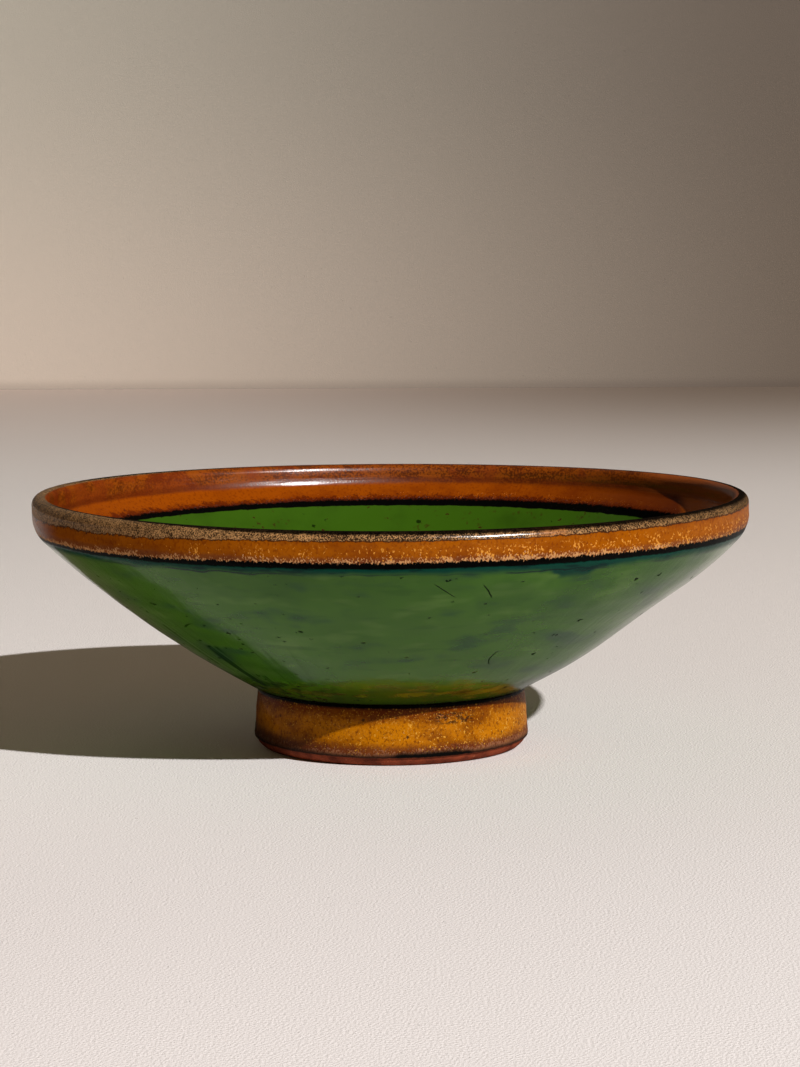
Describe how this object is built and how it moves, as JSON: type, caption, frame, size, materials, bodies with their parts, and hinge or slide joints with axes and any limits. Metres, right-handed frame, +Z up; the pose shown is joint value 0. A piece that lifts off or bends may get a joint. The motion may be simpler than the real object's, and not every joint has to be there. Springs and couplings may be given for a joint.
{
  "type": "footed pottery bowl",
  "caption": "Wide flared pottery bowl on a low foot ring, glazed green inside and out, with an amber rim and foot edged by thin black lines.",
  "frame": {"origin": "on the table at the middle of the foot", "axes": "+Z up along the axis of the bowl, from the foot to the mouth"},
  "size_m": [0.18, 0.18, 0.064],
  "materials": {
    "clay": "bare fired red clay",
    "slip": "fired slip",
    "green_glaze": "glossy mottled green",
    "liner_glaze": "glossy bright green",
    "amber_glaze": "glossy amber with pale crystals",
    "iron_glaze": "speckled iron brown",
    "black_glaze": "glossy black"
  },
  "bodies": {
    "root": {"bowl_body": "clay", "foot_ring": "clay", "luting_slip": "slip", "outer_green_glaze": "green_glaze", "inner_green_glaze": "liner_glaze", "outer_amber_glaze": "amber_glaze", "inner_amber_glaze": "amber_glaze", "lip_glaze": "iron_glaze", "outer_rim_line": "black_glaze", "inner_rim_line": "black_glaze", "foot_joint_line": "black_glaze", "foot_amber_glaze": "amber_glaze", "foot_edge_line": "black_glaze"}
  },
  "joints": []
}
